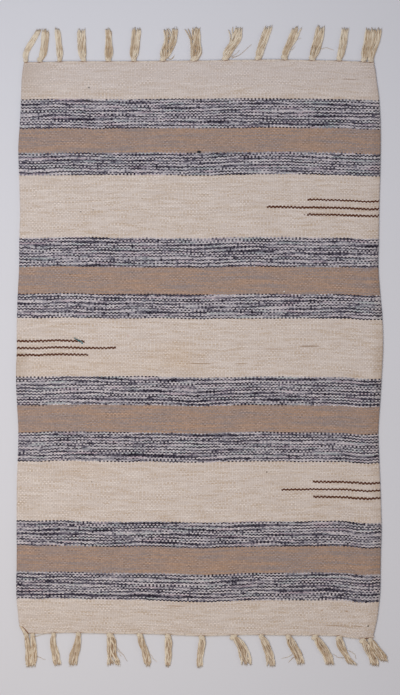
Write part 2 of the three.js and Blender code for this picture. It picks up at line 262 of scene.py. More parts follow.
# The rim, once round: the grid's border points, numbered as they lie in the grid
border = np.concatenate([
    np.arange(COLUMNS),
    np.arange(ROWS) * (COLUMNS + 1) + COLUMNS,
    ROWS * (COLUMNS + 1) + np.arange(COLUMNS, 0, -1),
    np.arange(ROWS, 0, -1) * (COLUMNS + 1),
])
rim_across, rim_along = grid_across.ravel()[border], grid_along.ravel()[border]
rim_rings = []
for turn in EDGE_TURN[1:-1]:
    inset = EDGE_ROUNDING * (1 - math.cos(turn))
    height = 0.5 + 0.5 * math.sin(turn)
    rim_rings.append(cloth_points(rim_across, rim_along, inset, height, math.sin(turn)))
print("points round the rim:", len(border))

# %% [markdown]
# ## Close the cloth into one mesh
#
# The top and the underside are two grids with the same columns and rows, and the rounded rim is a
# strip of four-sided faces that joins their borders. A second map, OFBake, spreads the top over
# the whole of a square, so that baked textures keep the threads. A kilim looks the same from both
# sides, so its underside may share that place.

# %% Faces and maps
grid_size = (COLUMNS + 1) * (ROWS + 1)
corner = (np.arange(ROWS)[:, None] * (COLUMNS + 1) + np.arange(COLUMNS)[None]).ravel()
top_faces = np.stack([corner, corner + 1, corner + COLUMNS + 2, corner + COLUMNS + 1], -1)
under_faces = top_faces[:, ::-1] + grid_size
rings = [border]
for i in range(len(rim_rings)):
    rings.append(2 * grid_size + i * len(border) + np.arange(len(border)))
rings.append(border + grid_size)

BAKE_EDGE = 6.0


def bake_place(across, along, beyond):
    """The place in the bake's square. beyond is how far round the rim a point lies, in mm."""
    room_x, room_y = CLOTH_WIDTH / 2 + BAKE_EDGE, CLOTH_LENGTH / 2 + BAKE_EDGE
    x = across * CLOTH_WIDTH / 2 + np.where(np.abs(across) == 1, across * beyond, 0)
    y = along * CLOTH_LENGTH / 2 + np.where(np.abs(along) == 1, along * beyond, 0)
    return np.stack([0.5 + x / room_x / 2, 0.5 + y / room_y / 2], -1)


grid_threads = threads_at(grid_across, grid_along).reshape(-1, 2)
grid_bake = bake_place(grid_across, grid_along, 0).reshape(-1, 2)
thread_pairs = [grid_threads[top_faces], grid_threads[under_faces - grid_size]]
bake_pairs = [grid_bake[top_faces], grid_bake[under_faces - grid_size]]
rim_faces = []
arc = EDGE_ROUNDING * (EDGE_TURN[0] - EDGE_TURN)
at_side, at_end = np.abs(rim_across) == 1, np.abs(rim_along) == 1
for i in range(len(rings) - 1):
    upper, lower = rings[i], rings[i + 1]
    rim_faces.append(np.stack([upper, lower, np.roll(lower, -1), np.roll(upper, -1)], -1))
    rim_threads, rim_bake = [], []
    for j in (i, i + 1):
        rim_threads.append(threads_at(rim_across, rim_along, at_side * arc[j], at_end * arc[j]))
        rim_bake.append(bake_place(rim_across, rim_along, arc[j]))
    for pairs, (above, below) in ((thread_pairs, rim_threads), (bake_pairs, rim_bake)):
        pairs.append(np.stack([above, below, np.roll(below, -1, 0), np.roll(above, -1, 0)], 1))
cloth_faces = np.concatenate([top_faces, under_faces] + rim_faces)
all_points = [top_points.reshape(-1, 3), under_points.reshape(-1, 3)] + rim_rings
cloth_vertices = np.concatenate(all_points)
print("triangles of the cloth:", 2 * len(cloth_faces))

# %% [markdown]
# ## The weft: dyed and undyed cotton yarn
#
# The real yarn is soft spun cotton. It takes dye well and reflects hardly any light as a mirror
# does, so it is nearly matt, with a faint glow at a low angle from its loose fibres. The yarns are
# undyed cream, khaki, navy and white in turn for the mottled stripes, with a little teal and pink
# in the white, and a dark brown for the short lines.
#
# First the material finds out which bead of yarn it is on. From the warp's number comes the rib
# and how far across it the point lies. Odd ribs show the odd picks and even ribs the even ones,
# and a bead is two picks high.
#
# Two things keep this from looking like graph paper. The beads interlock: each is widest at its
# middle, where it pushes in between two beads of the next rib, so the line between two ribs is a
# zigzag. And the picks wobble by about half a millimetre, and on each rib by a little more, since
# no beater packs them quite evenly.

# %% Which bead of yarn
INTERLOCK = 0.2
WOBBLE_LENGTH, WOBBLE_HEIGHT, WOBBLE_PICKS = 24.0, 30.0, 1.8
JITTER_PER_RIB, JITTER_PER_PICK, JITTER_PICKS = 3.7, 0.07, 1.0
weave, tree = new_material("soft_spun_cotton_weft_faced_weave")
threads = add(tree, "UVMap", uv_map="threads")
numbers = add(tree, "SeparateXYZ", [threads])
warp, down = numbers.outputs["X"], numbers.outputs["Y"]
wobble_x = [warp, RIB_PITCH / WOBBLE_LENGTH, 0.0]
wobble_y = [down, PICK_PITCH / WOBBLE_HEIGHT, 0.0]
wobble = unevenness(tree, wobble_x, wobble_y, plane=5.0, detail=1.0)
wobble = add(tree, "Math SUBTRACT", [wobble, 0.5])
down = add(tree, "Math MULTIPLY_ADD", [wobble, WOBBLE_PICKS, down])
waves = []
for number in (warp, down):
    turn = add(tree, "Math MULTIPLY", [number, math.pi])
    waves.append(add(tree, "Math COSINE", [turn]))
push = add(tree, "Math MULTIPLY", waves)
locked = add(tree, "Math MULTIPLY_ADD", [push, -INTERLOCK, warp])
rib = add(tree, "Math FLOOR", [locked])
odd = add(tree, "Math FLOORED_MODULO", [rib, 2.0])
across_rib = add(tree, "Math SUBTRACT", [add(tree, "Math FRACT", [locked]), 0.5])
jitter_x, jitter_y = [rib, JITTER_PER_RIB, 0.0], [down, JITTER_PER_PICK, 0.0]
jitter = unevenness(tree, jitter_x, jitter_y, plane=9.0, detail=0.0)
jitter = add(tree, "Math SUBTRACT", [jitter, 0.5])
down = add(tree, "Math MULTIPLY_ADD", [jitter, JITTER_PICKS, down])
own_down = add(tree, "Math SUBTRACT", [down, odd])
pair = add(tree, "Math MULTIPLY", [own_down, 0.5])
pair_number = add(tree, "Math FLOOR", [pair])
along_bead = add(tree, "Math SUBTRACT", [add(tree, "Math FRACT", [pair]), 0.5])
pick = add(tree, "Math MULTIPLY_ADD", [pair_number, 2.0, odd])
print("nodes that find the bead:", len(tree.nodes))

# %% [markdown]
# ## The stripes
#
# The stripes are as long as in the photo, in millimetres from the top end. A colour ramp without
# blending holds them: red marks the mottled stripes, green the khaki ones, and black the cream.
# It is read with the pick's whole number, so each stripe ends on whole beads, as in real weaving.
# Read one pick higher and one lower, it also tells which picks are at the rim of a mottled stripe.
# Those are a little darker in the photo, so that rows of dots edge the stripes.

# %% Stripes
STRIPES = (
    ("cream", 62.8), ("mottled", 45.7), ("khaki", 39.4), ("mottled", 40.2),
    ("cream", 102.7), ("mottled", 45.6), ("khaki", 45.9), ("mottled", 41.2),
    ("cream", 95.9), ("mottled", 46.6), ("khaki", 44.5), ("mottled", 47.7),
    ("cream", 102.5), ("mottled", 40.4), ("khaki", 45.0), ("mottled", 41.1),
    ("cream", 58.8),
)
MARKS = {"cream": (0, 0, 0, 1), "mottled": (1, 0, 0, 1), "khaki": (0, 1, 0, 1)}


def read_stripes(picks_on):
    """The mark of the yarn that lies so many picks further down."""
    part_down = add(tree, "Math MULTIPLY_ADD", [pick, 1 / PICKS, (1 + picks_on) / PICKS])
    stripe_ramp = add(tree, "ValToRGB", [part_down])
    ramp = stripe_ramp.color_ramp
    ramp.interpolation = "CONSTANT"
    start = 0.0
    for number, (yarn, length) in enumerate(STRIPES):
        stop = ramp.elements[0] if number == 0 else ramp.elements.new(start / CLOTH_LENGTH)
        stop.color = MARKS[yarn]
        start += length
    ramp.elements.remove(ramp.elements[-1])
    return add(tree, "SeparateColor", [stripe_ramp]).outputs


marks = read_stripes(0)
is_mottled, is_khaki = marks["Red"], marks["Green"]
within = add(tree, "Math MULTIPLY", [read_stripes(-1)["Red"], read_stripes(1)["Red"]])
at_rim = add(tree, "Math SUBTRACT", [is_mottled, within])
print("stripes:", len(STRIPES), "adding up to mm:", round(sum(length for _, length in STRIPES), 1))

# %% [markdown]
# ## Yarn that varies along its length
#
# Hand-spun and plied yarn is never even. Each pick has its own tone that drifts over several
# centimetres, and changes again every few beads. Both come from noise that is stretched along the
# pick. It is read at the pick's number times an odd step, so that neighbouring picks have nothing
# in common. Some noises are read once for each pick, and some once for two picks or for a row.
#
# The mottled stripes are woven with a navy and a white yarn in turn, about two picks of each. Two
# picks fill one zigzag row, so dark and light rows follow each other. But the yarns slip: a wave
# with about four picks to a turn gives the rows, and a slow noise pushes its phase on and back, so
# that rows merge, end and start again. The wave is mostly stepped, a quarter of a turn at a time,
# because a bead has one colour, and a smooth wave rounds it off. Its height changes slowly along a
# pick. Each row (dash) and each half of one (streak) gets lighter and darker along its length, and
# where the navy yarn was spun thicker there are short dark knops.

# %% Tones along each pick
YARN_NOISES = {
    "phase": ("pick", 160.0, 0.1, 1.0), "contrast": ("pick", 60.0, 0.45, 1.0),
    "knop": ("pick", 10.0, 2.17, 1.0), "tint": ("pair", 60.0, 0.83, 1.0),
    "drift": ("pair", 50.0, 1.37, 3.0), "bath": ("pair", 80.0, 2.77, 3.0),
    "slub": ("pick", 32.0, 2.63, 2.0), "streak": ("half", 44.0, 1.57, 2.0),
    "dash": ("row", 34.0, 1.91, 2.0),
}
NOISE_START, PLANE_STEP, NOISE_ROUGHNESS = 0.37, 7.3, 0.6
PICKS_PER_TURN = 4.2
PHASE_SWING = 14.0
counts = {
    "pick": pick,
    "pair": add(tree, "Math FLOOR", [add(tree, "Math MULTIPLY", [pick, 0.5])]),
}
tones = {}


def add_tone(use):
    """The noise for one use: what is counted, its length in mm, its step at each count, its detail."""
    counted, length, step, detail = YARN_NOISES[use]
    x, y = [warp, RIB_PITCH / length, 0.0], [counts[counted], step, NOISE_START]
    tones[use] = unevenness(tree, x, y, PLANE_STEP * len(tones), detail, NOISE_ROUGHNESS)


add_tone("phase")
swing = add(tree, "Math MULTIPLY", [tones["phase"], PHASE_SWING / 2 / math.pi])
turns = add(tree, "Math MULTIPLY_ADD", [pick, 1 / PICKS_PER_TURN, swing])
counts["row"] = add(tree, "Math FLOOR", [turns])
counts["half"] = add(tree, "Math FLOOR", [add(tree, "Math MULTIPLY", [turns, 2.0])])
for use in list(YARN_NOISES)[1:]:
    add_tone(use)
bead_place = add(tree, "CombineXYZ", [rib, pick, 0.0])
bead_tone = add(tree, "TexWhiteNoise", [bead_place]).outputs["Value"]
print("noises:", sorted(tones))

# %% Mottled yarn
PLY_SLANT = 2.2
STEPPED_SHARE, STREAK_SHARE, BEAD_SHARE, PLY_SHARE = 1.4, 0.42, 0.22, 0.05
RIM_NAVY = 0.08
wave_turn = add(tree, "Math MULTIPLY", [turns, 2 * math.pi])
smooth_wave = add(tree, "Math SINE", [wave_turn])
quarter = add(tree, "Math FLOOR", [add(tree, "Math MULTIPLY", [turns, 4.0])])
quarter_turn = add(tree, "Math MULTIPLY_ADD", [quarter, math.pi / 2, math.pi / 4])
stepped_wave = add(tree, "Math SINE", [quarter_turn])
row_wave = add(tree, "Math MULTIPLY_ADD", [stepped_wave, STEPPED_SHARE, smooth_wave])
contrast = add(tree, "MapRange", [tones["contrast"], 0.35, 0.65, 0.06, 0.145])
dash = add(tree, "MapRange", [tones["dash"], 0.3, 0.7, 0.175, 0.275])
knop = add(tree, "MapRange", [tones["knop"], 0.58, 0.72, 0.0, -0.32])
ply_turn = add(tree, "Math ADD", [across_rib, along_bead])
ply_turn = add(tree, "Math MULTIPLY", [ply_turn, PLY_SLANT * math.pi])
ply_wave = add(tree, "Math SINE", [ply_turn])
lightness = add(tree, "Math MULTIPLY_ADD", [row_wave, contrast, dash])
LIGHTENED_BY = (
    (tones["streak"], STREAK_SHARE), (bead_tone, BEAD_SHARE), (ply_wave, PLY_SHARE),
    (knop, 1.0), (at_rim, -RIM_NAVY),
)
for tone, share in LIGHTENED_BY:
    lightness = add(tree, "Math MULTIPLY_ADD", [tone, share, lightness])
mottle_ramp = add(tree, "ValToRGB", [lightness])
MOTTLE = ((0.24, "#1e1727"), (0.38, "#4a4453"), (0.5, "#847f89"), (0.62, "#b1abb1"), (0.8, "#d3cacc"))
for number, (place, colour) in enumerate(MOTTLE):
    stops = mottle_ramp.color_ramp.elements
    stop = stops[number] if number < 2 else stops.new(place)
    stop.position = place
    stop.color = linear(colour)
print("mottled yarn shades:", len(MOTTLE))

# %% [markdown]
# ## Hints of teal and pink
#
# Here and there one ply of the white yarn is teal or pink for a few centimetres. One slow noise
# picks those places: its high end gives teal and its low end pink. It only tints the light beads,
# so the navy stays as it is.

# %% Teal and pink plies
TINTS = ((0.56, 0.7, 0.26, "#6fa39b"), (0.42, 0.3, 0.3, "#a9788f"))
light_part = add(tree, "MapRange", [lightness, 0.4, 0.6, 0.0, 1.0])
tinted = mottle_ramp
for start, full, most, colour in TINTS:
    share = add(tree, "MapRange", [tones["tint"], start, full, 0.0, most])
    amount = add(tree, "Math MULTIPLY", [share, light_part])
    tinted = add(tree, "Mix RGBA", [amount, tinted, linear(colour)])
print("tints of the white yarn:", len(TINTS))

# %% [markdown]
# ## The even yarns
#
# Undyed cotton is a warm cream. Its slubs, thicker lengths of loose fibre, look a little darker and
# yellower, and they run along the pick. The khaki yarn has taken its dye unevenly, so it wavers
# between an orange brown and a greyer one. It also does so from row to row, with about five picks
# to a turn, and half a turn apart on odd and even ribs, which gives the photo's fine crosshatch.

# %% Cream and khaki yarns, and the choice between all three
HATCH_PICKS, HATCH_TINT = 5.2, 0.07
hatch_turn = add(tree, "Math MULTIPLY", [pick, 2 * math.pi / HATCH_PICKS])
hatch_turn = add(tree, "Math MULTIPLY_ADD", [odd, math.pi, hatch_turn])
hatch_wave = add(tree, "Math SINE", [hatch_turn])
slub_share = add(tree, "MapRange", [tones["slub"], 0.48, 0.72, 0.0, 1.0])
drift_tone = add(tree, "MapRange", [tones["drift"], 0.34, 0.66, 0.0, 1.0])
cream_even = add(tree, "Mix RGBA", [drift_tone, linear("#d5c6bc"), linear("#e4d7ce")])
cream = add(tree, "Mix RGBA", [slub_share, cream_even, linear("#c8b29c")])
bath = add(tree, "Math MULTIPLY_ADD", [hatch_wave, HATCH_TINT, tones["bath"]])
bath_tone = add(tree, "MapRange", [bath, 0.36, 0.64, 0.0, 1.0])
khaki = add(tree, "Mix RGBA", [bath_tone, linear("#b3937d"), linear("#9b8c88")])
plain = add(tree, "Mix RGBA", [is_khaki, cream, khaki])
striped = add(tree, "Mix RGBA", [is_mottled, plain, tinted])
print("nodes so far:", len(tree.nodes))

# %% [markdown]
# ## Short brown lines
#
# Three groups of short lines lie in the cream, each of three lines, with the middle one longer. In
# the weave each is two picks of dark brown yarn, laid in from one long side. Because neighbouring
# ribs show neighbouring picks, such a pair looks like a fine zigzag. The brown yarn is thicker
# than the cream, so its beads spread a little over the picks above and below. Each line starts at
# a measured x, and runs to the side of the cloth.

# %% Brown lines
LINE_GROUPS = (
    {"side": 1, "lines": ((180, 244.6), (112, 232.6), (178, 220.7))},
    {"side": -1, "lines": ((-188, 13.0), (-135.5, 1.3), (-183.5, -10.6))},
    {"side": 1, "lines": ((188.5, -221.7), (136.5, -232.9), (188.5, -246.8))},
)
LINE_BROWN, LINE_BLUR = "#562706", 0.15
half_height = add(tree, "MapRange", [tones["drift"], 0.35, 0.65, 1.15, 1.5])
lined = striped
for group in LINE_GROUPS:
    side = group["side"]
    for x, y in group["lines"]:
        middle = threads_of((x + side * CLOTH_WIDTH / 2) / 2, y)
        first_rib = round(float(threads_of(x, y)[0]))
        below = add(tree, "Math SUBTRACT", [own_down, math.floor(middle[1]) + 1])
        off_line = add(tree, "Math SUBTRACT", [add(tree, "Math ABSOLUTE", [below]), half_height])
        on_picks = add(tree, "MapRange", [off_line, LINE_BLUR, -LINE_BLUR, 0.0, 1.0])
        beyond = "Math GREATER_THAN" if side > 0 else "Math LESS_THAN"
        on_ribs = add(tree, beyond, [rib, first_rib - 0.5])
        on_line = add(tree, "Math MULTIPLY", [on_picks, on_ribs])
        lined = add(tree, "Mix RGBA", [on_line, lined, linear(LINE_BROWN)])
print("brown lines:", 3 * len(LINE_GROUPS))

# %% [markdown]
# ## Specks
#
# Bits of seed husk and stray dyed fibre get spun into such yarn. Those that the photo shows are
# put where they are, as small ovals that are longer along the pick. The long thin ones are slubs,
# and the last five are the teal thread at the end of a brown line. Each row has the middle's x and
# y, the length along the pick and the height, all in mm, and the colour.

# %% Specks
SPECKS = (
    (0, 323.7, 7.5, 5, "#1d1c24"),
    (-182, 430, 3.4, 2.8, "#2e2825"),
    (-195, 225, 2.5, 1.8, "#6b5c50"),
    (-175, 228, 2, 1.6, "#6b5c50"),
    (-213, 122, 3, 2, "#4b413a"),
    (88, 408, 8, 3, "#1d1c24"),
    (109, 159, 5, 2.4, "#24242c"),
    (122, 159, 4, 2.2, "#24242c"),
    (112, -205, 2.5, 2, "#655648"),
    (68, -185, 2.5, 2, "#655648"),
    (279.5, -458.7, 3, 2.4, "#57503f"),
    (243.8, -435.6, 4.5, 2.2, "#b8997f"),
    (203, -433, 5, 2, "#bc9f88"),
    (228, -458.7, 42, 1.6, "#baa088"),
    (262, -459.6, 20, 1.6, "#baa088"),
    (-38, -426, 30, 1.6, "#b89a82"),
    (-177, -221, 2.2, 1.8, "#655648"),
    (-142, -316, 4, 2.2, "#3a352f"),
    (145, -377, 4, 2.2, "#24242c"),
    (-117, 20, 2.4, 1.6, "#b98a93"),
    (140, 93, 3, 1.8, "#e6e0db"),
    (249, 443, 28, 1.6, "#a98c76"),
    (183, 3, 36, 2, "#a1866f"),
    (123.6, -1.7, 34, 1.5, "#bba18b"),
    (2, -25.8, 44, 1.6, "#ab917a"),
    (69.4, -25.8, 22, 1.5, "#b39a84"),
    (174.3, 219.8, 2.6, 2, "#7b5f50"),
    (-205.4, 16.4, 3.6, 2.4, "#4f6f75"),
    (-202.4, 14.2, 5, 2.6, "#38545c"),
    (-198.4, 12.4, 6, 3.2, "#2f6268"),
    (-194.8, 10.6, 4, 2.4, "#5b7d80"),
    (-192.8, 8, 3.2, 3.2, "#4a7d84"),
)


def off_oval(x, y, long, high):
    """How far a point lies from an oval's middle, with 1 at its rim."""
    at = threads_of(x, y)
    size = (2 * RIB_PITCH / long, 2 * PICK_PITCH / high, 0)
    off = add(tree, "VectorMath SUBTRACT", [threads, (at[0], at[1], 0)])
    off = add(tree, "VectorMath MULTIPLY", [off, size])
    return add(tree, "VectorMath LENGTH", [off]).outputs["Value"]


specked = lined
for *oval, colour in SPECKS:
    on_speck = add(tree, "MapRange", [off_oval(*oval), 1.2, 0.7, 0.0, 1.0])
    specked = add(tree, "Mix RGBA", [on_speck, specked, linear(colour)])
print("specks:", len(SPECKS))

# %% [markdown]
# ## Tinges
#
# Cloth that has been used is not one even colour. A faint yellow stain lies left of the middle, and
# two weaker ones beside and below it. The right selvedge is drawn darker all along: painted shade,
# where the light falls off towards that side. One place on it and two on the left selvedge are
# drawn darker still. Each is a large soft oval that multiplies the colour of the yarns, and a slow
# noise frays its edge. Over the first stripe a cooler cream is mixed in instead. The rows are as
# for the specks, and then the share of the tinge and how it is blended.

# %% Tinges
STAIN, EDGE_DARKENING = "#f0d8b0", "#c8b8a0"
TINGES = (
    (-36, -12, 110, 66, STAIN, 0.24, "MULTIPLY"),
    (-150, -30, 440, 48, STAIN, 0.12, "MULTIPLY"),
    (-188, -201, 150, 40, STAIN, 0.12, "MULTIPLY"),
    # painted shade: the whole right selvedge darker, where the light falls off
    (302, 0, 34, 3000, EDGE_DARKENING, 0.24, "MULTIPLY"),
    (300, -28, 36, 90, EDGE_DARKENING, 0.26, "MULTIPLY"),
    (-302, -28, 48, 70, EDGE_DARKENING, 0.4, "MULTIPLY"),
    (-296, 456, 120, 130, EDGE_DARKENING, 0.42, "MULTIPLY"),
    (0, 452, 1800, 90, "#d8ccc8", 0.4, "MIX"),
)
FRAY_SCALE, FRAY_DEPTH = 0.06, 0.8
fray = add(tree, "TexNoise", {"Vector": threads, "Scale": FRAY_SCALE, "Detail": 3.0})
tinged = specked
for *oval, colour, share, blend in TINGES:
    off = add(tree, "Math MULTIPLY_ADD", [fray, FRAY_DEPTH, off_oval(*oval)])
    on_tinge = add(tree, "MapRange", [off, 1.4, 0.6, 0.0, share])
    colours = [on_tinge, tinged, linear(colour)]
    tinged = add(tree, "Mix RGBA", colours, blend_type=blend)
print("tinges:", len(TINGES))

# %% [markdown]
# ## Beads in relief
#
# The weft rises over each warp and dives between them, so a bead is domed both ways. A dome is one
# minus the steepness towards its edges. The same dome drives three things: the bump, the darker
# gaps, which lie in shadow that a bump can't cast, and the roughness, since packed fibres are a
# little smoother on the crowns. Fibres are 0.02 mm thick, too fine to show, so they are drawn
# about ten times as coarse. Beads of this size are as small as the photo's pixels, and show in it
# as a faint crosshatch, so that is drawn too. It comes and goes in patches, and is strongest in
# the khaki.

# %% Bead shape and fibres
DOME_POWERS = ((across_rib, 3.0), (along_bead, 4.0))
FIBRE_LENGTH, FIBRE_THICKNESS, FIBRE_SLANT = 1.4, 0.22, 0.5
domes = []
for place, power in DOME_POWERS:
    steep = add(tree, "Math ABSOLUTE", [add(tree, "Math MULTIPLY", [place, 2.0])])
    steep = add(tree, "Math POWER", [steep, power])
    domes.append(add(tree, "Math SUBTRACT", [1.0, steep]))
dome = add(tree, "Math MULTIPLY", domes)
fibre_y = [down, PICK_PITCH / FIBRE_THICKNESS, 0.0]
slant = add(tree, "Math MULTIPLY_ADD", fibre_y)
slant = add(tree, "Math MULTIPLY", [slant, FIBRE_SLANT * FIBRE_THICKNESS / FIBRE_LENGTH])
fibre_x = [warp, RIB_PITCH / FIBRE_LENGTH, slant]
fibres = unevenness(tree, fibre_x, fibre_y, plane=0.0, detail=2.0, roughness=0.55)
print("a bead is", round(RIB_PITCH, 2), "mm wide and", 2 * PICK_PITCH, "mm high")

# %% Colour, roughness and bump of the weave
GAP_SHADE = "#c2b7af"
BEAD_RELIEF = 0.12 * MM
FIBRE_RELIEF = 0.05 * MM
HATCH_PATCH = 14.0
CREAM_HATCH, KHAKI_HATCH = 0.11, 0.24
CREAM_CHANCE, KHAKI_CHANCE = 0.06, 0.24
fibre_light = add(tree, "MapRange", [fibres, 0.25, 0.75, 0.93, 1.06])
chance_size = add(tree, "Mix", [is_khaki, CREAM_CHANCE, KHAKI_CHANCE])
bead_off = add(tree, "Math SUBTRACT", [bead_tone, 0.5])
bead_light = add(tree, "Math MULTIPLY_ADD", [bead_off, chance_size, 1.0])
patch_x, patch_y = [warp, RIB_PITCH / HATCH_PATCH, 0.0], [pick, PICK_PITCH / HATCH_PATCH, 0.0]
patch = unevenness(tree, patch_x, patch_y, plane=3.0, detail=0.0)
hatch_most = add(tree, "Mix", [is_khaki, CREAM_HATCH, KHAKI_HATCH])
hatch_size = add(tree, "MapRange", [patch, 0.5, 0.64, 0.01, hatch_most])
bead_light = add(tree, "Math MULTIPLY_ADD", [hatch_wave, hatch_size, bead_light])
light_share = add(tree, "Math MULTIPLY", [fibre_light, bead_light])
lit = add(tree, "VectorMath SCALE", {"Vector": tinged, "Scale": light_share})
gap = add(tree, "MapRange", [dome, 0.6, 0.0, 0.0, 1.0])
shaded = add(tree, "Mix RGBA", [gap, lit, linear(GAP_SHADE)], blend_type="MULTIPLY")
rough = add(tree, "MapRange", [dome, 0.0, 1.0, 0.96, 0.84])
bead_bump = add(tree, "Bump", {"Strength": 1.0, "Distance": BEAD_RELIEF, "Height": dome})
fibre_settings = {"Strength": 1.0, "Distance": FIBRE_RELIEF, "Height": fibres, "Normal": bead_bump}
fibre_bump = add(tree, "Bump", fibre_settings)
cotton = add(tree, "BsdfPrincipled", {
    "Base Color": shaded, "Roughness": rough, "IOR": 1.53, "Specular IOR Level": 0.25,
    "Sheen Weight": 0.12, "Sheen Roughness": 0.5, "Normal": fibre_bump,
})
add(tree, "OutputMaterial", [cotton])
print("nodes in the weave:", len(tree.nodes))

# %% [markdown]
# ## Put the cloth in place
#
# The woven cloth takes the place of the plain solid, so it rides on the same body.

# %% The woven cloth
cloth_maps = {
    "threads": np.concatenate([pairs.reshape(-1, 2) for pairs in thread_pairs]),
    "OFBake": np.concatenate([pairs.reshape(-1, 2) for pairs in bake_pairs]),
}
cloth = new_piece("woven_cloth", cloth_vertices, cloth_faces.tolist(), cloth_maps, weave)
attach(cloth, "root")
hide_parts("rug_field")
print("cloth points:", len(cloth.data.vertices), "height in mm:", round(cloth.dimensions.z / MM, 2))

# %% [markdown]
# ## Yarns as tubes
#
# The fringe is made of the warps themselves: undyed cotton cord, 2 mm thick. Each is a tube round
# a path. To keep a tube from twisting at random, its cross-section is carried along the path, and
# at each step it only tilts as the path does. Every corner of a tube knows how far round and how
# far along the yarn it is, for the plies, and a tone and a shade for the colour.

# %% Tubes from paths
ALONG_NO_PATH = (0.31, 0.17, 0.93)


def carried_sections(paths, closed):
    """Two directions square to each path, yarns by steps by xyz, that turn no more than they must."""
    if closed:
        steps = np.roll(paths, -1, 1) - np.roll(paths, 1, 1)
    else:
        steps = np.gradient(paths, axis=1)
    steps = steps / np.linalg.norm(steps, axis=-1, keepdims=True)
    first = np.cross(steps, ALONG_NO_PATH)
    for i in range(1, paths.shape[1]):
        tilt = (first[:, i - 1] * steps[:, i]).sum(-1, keepdims=True)
        first[:, i] = first[:, i - 1] - tilt * steps[:, i]
    first = first / np.linalg.norm(first, axis=-1, keepdims=True)
    return first, np.cross(steps, first)


def lay_yarns(heap, paths, radius, shade, sides=8, closed=False, tones=(0, 1)):
    """Adds tubes to a heap of yarns. radius and shade are numbers, or one for each yarn and step."""
    count, steps = paths.shape[:2]
    radius, shade = np.broadcast_to(radius, (count, steps)), np.broadcast_to(shade, (count, steps))
    first, second = carried_sections(paths, closed)
    turn = 2 * np.pi * np.arange(sides) / sides
    ring = np.cos(turn)[:, None] * first[:, :, None] + np.sin(turn)[:, None] * second[:, :, None]
    points = paths[:, :, None] + radius[:, :, None, None] * ring
    length = np.linalg.norm(np.diff(paths, axis=1), axis=-1)
    length = np.concatenate([np.zeros((count, 1)), np.cumsum(length, 1)], 1)
    base = sum(len(p) for p in heap["points"])
    heap["points"].append(points.reshape(-1, 3))
    spans = steps if closed else steps - 1
    tone = chance.uniform(*tones, count)
    i, j, k = (a.ravel() for a in np.meshgrid(range(count), range(spans), range(sides), indexing="ij"))
    after, beside = (j + 1) % steps, (k + 1) % sides
    corners = [(j, k, k), (j, beside, k + 1), (after, beside, k + 1), (after, k, k)]
    faces = np.stack([base + (i * steps + row) * sides + place for row, place, _ in corners], -1)
    around = np.stack([number / sides for _, _, number in corners], -1)
    along = np.stack([length[i, np.where(row < j, steps - 1, row)] for row, _, _ in corners], -1)
    dark = np.stack([shade[i, row] for row, _, _ in corners], -1)
    heap["faces"] += faces.tolist()
    heap["yarn"].append(np.stack([around, along], -1).reshape(-1, 2))
    heap["tone"].append(np.stack([np.broadcast_to(tone[i, None], dark.shape), dark], -1).reshape(-1, 2))
    strip = heap["strips"] + i
    heap["strip"].append(np.broadcast_to(strip[:, None], around.shape).ravel())
    if not closed:
        close_ends(heap, base, count, steps, sides, length, tone, shade)
    heap["strips"] += count


def close_ends(heap, base, count, steps, sides, length, tone, shade):
    """Caps both ends of open tubes with flat faces."""
    for yarn in range(count):
        for row, order in ((0, range(sides - 1, -1, -1)), (steps - 1, range(sides))):
            heap["faces"].append([base + (yarn * steps + row) * sides + k for k in order])
            pairs = [(k / sides, length[yarn, row]) for k in order]
            heap["yarn"].append(np.array(pairs))
            heap["tone"].append(np.tile((tone[yarn], shade[yarn, row]), (sides, 1)))
            heap["strip"].append(np.full(sides, heap["strips"] + yarn))


# %% [markdown]
# ## The fringe yarn's material
#
# Warp yarn is hard-spun undyed cotton, golden beige, of three plies twisted together. It is
# smoother than the weft, but still matt. The plies are slanted stripes in relief round the tube,
# as far apart as three plies with a full turn each 12 mm put them, and the creases between them
# are drawn a little darker: painted shade. Handling and the weaver's damp fingers leave a
# red-brown tinge in the throat of each knot, which the shade value brings in. The same red-brown
# is also painted shade: on the inner yarns of a hank, on the low sides of the knot loops and on
# two dark yarns near the corners. A tone above one marks a cream weft yarn.

# %% Undyed cotton cord
PLIES, TWIST_LENGTH = 3, 12.0
STRANDS_AROUND, STRAND_LENGTH, TONE_PLANES = 16.0, 2.0, 40.0
DRIFT_PER_MM, TONE_SHARE = 0.09, 0.6
PLY_RELIEF = 0.08 * MM
cord, tree = new_material("undyed_cotton_cord_three_ply")
yarn_place = add(tree, "SeparateXYZ", [add(tree, "UVMap", uv_map="yarn")])
tone_place = add(tree, "SeparateXYZ", [add(tree, "UVMap", uv_map="tone")])
around, along = yarn_place.outputs["X"], yarn_place.outputs["Y"]
tone, shade = tone_place.outputs["X"], tone_place.outputs["Y"]
turned = add(tree, "Math MULTIPLY_ADD", [along, 1 / TWIST_LENGTH, around])
ply_place = add(tree, "Math MULTIPLY", [turned, PLIES * math.pi])
ply_crown = add(tree, "Math ABSOLUTE", [add(tree, "Math SINE", [ply_place])])
strand_x, strand_y = [turned, STRANDS_AROUND, 0.0], [along, 1 / STRAND_LENGTH, 0.0]
own_plane = add(tree, "Math MULTIPLY", [tone, TONE_PLANES])
strand_noise = unevenness(tree, strand_x, strand_y, own_plane, detail=3.0, roughness=0.6)
drift_x, drift_y = [along, DRIFT_PER_MM, 0.0], [tone, 1.0, 0.0]
long_noise = unevenness(tree, drift_x, drift_y, plane=3.0, detail=2.0)
tone_and_noise = add(tree, "Math MULTIPLY_ADD", [tone, TONE_SHARE, long_noise])
hue = add(tree, "MapRange", [tone_and_noise, 0.45, 1.1, 0.0, 1.0])
undyed = add(tree, "Mix RGBA", [hue, linear("#b69a7a"), linear("#e7d8c2")])
is_weft = add(tree, "MapRange", [tone, 1.0, 1.1, 0.0, 1.0])
